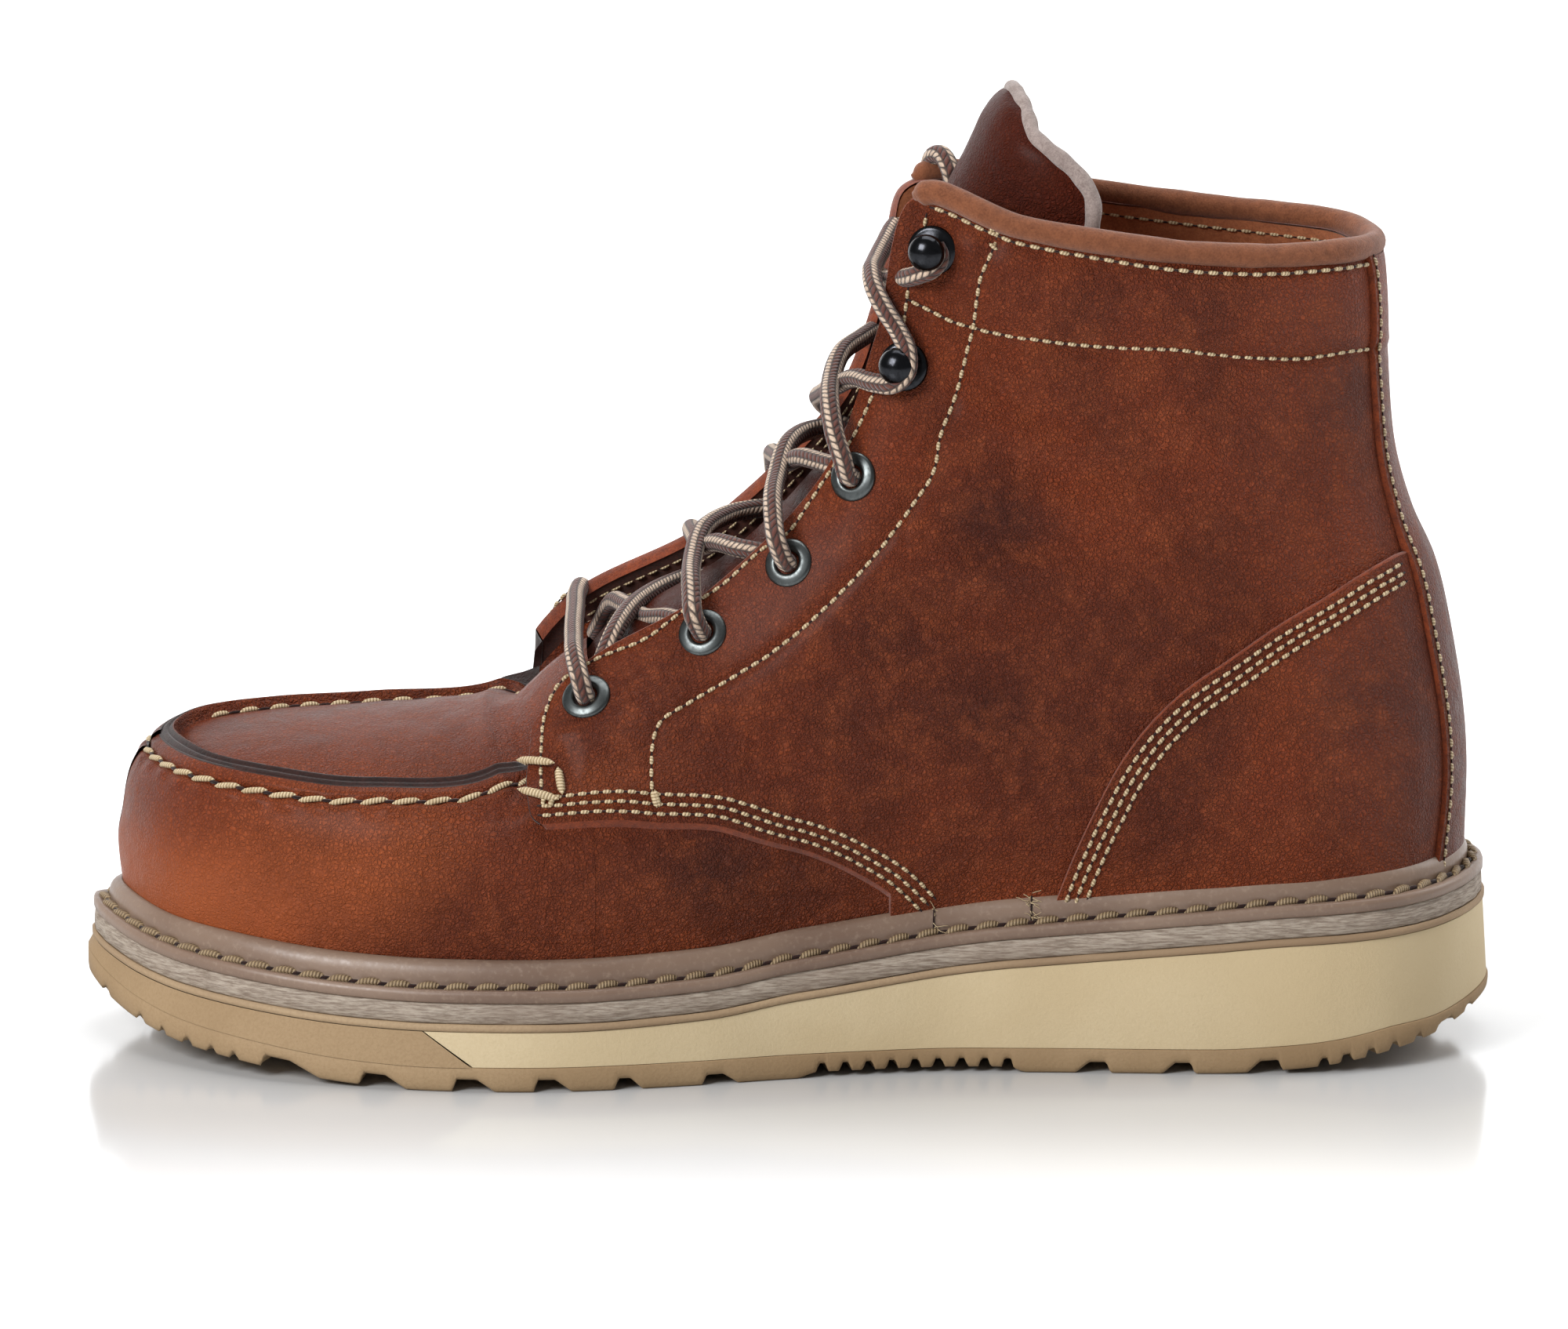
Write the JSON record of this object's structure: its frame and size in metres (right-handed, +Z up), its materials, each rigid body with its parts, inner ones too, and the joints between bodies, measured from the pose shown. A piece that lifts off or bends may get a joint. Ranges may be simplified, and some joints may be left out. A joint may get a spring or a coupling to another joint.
{
  "type": "wedge sole work boot",
  "caption": "Ankle-high lace-up work boot with a raised moc-toe seam, stitched storm welt and a full-length rubber wedge sole.",
  "frame": {"origin": "middle of the boot's footprint, on the floor that the sole stands on", "axes": "+X towards the heel, -X towards the toe, -Y towards the outer side, +Z up"},
  "size_m": [0.31, 0.112, 0.214],
  "materials": {
    "oiled_leather": "oiled full-grain reddish brown leather, pebbled, soft sheen",
    "binding_leather": "brown nubuck binding and lining, matt",
    "insole_lining": "brown textile insole cover, matt",
    "tread_rubber": "tan tread rubber, matt",
    "wedge_rubber": "cream wedge rubber, fine pebble",
    "midsole_rubber": "grey-taupe midsole with a ground edge, matt",
    "welt_rubber": "taupe storm welt, satin",
    "black_metal": "gunmetal eyelets and hooks, glossy",
    "lace_cord": "round braided brown and beige lace"
  },
  "bodies": {
    "root": {"outsole": "tread_rubber", "wedge": "wedge_rubber", "wedge_lip": "tread_rubber", "midsole": "midsole_rubber", "welt": "welt_rubber", "insole": "insole_lining", "upper": "oiled_leather", "backstay": "oiled_leather", "collar_binding": "binding_leather", "tongue": "oiled_leather", "quarter_outer": "oiled_leather", "counter_outer": "oiled_leather", "eyelet_outer_1": "black_metal", "eyelet_outer_2": "black_metal", "eyelet_outer_3": "black_metal", "eyelet_outer_4": "black_metal", "hook_outer_1": "black_metal", "hook_outer_2": "black_metal", "quarter_inner": "oiled_leather", "counter_inner": "oiled_leather", "eyelet_inner_1": "black_metal", "eyelet_inner_2": "black_metal", "eyelet_inner_3": "black_metal", "eyelet_inner_4": "black_metal", "hook_inner_1": "black_metal", "hook_inner_2": "black_metal", "lace_bar": "lace_cord", "lace_cross_1": "lace_cord", "lace_cross_2": "lace_cord", "lace_cross_3": "lace_cord", "lace_cross_4": "lace_cord", "lace_cross_5": "lace_cord"}
  },
  "joints": []
}
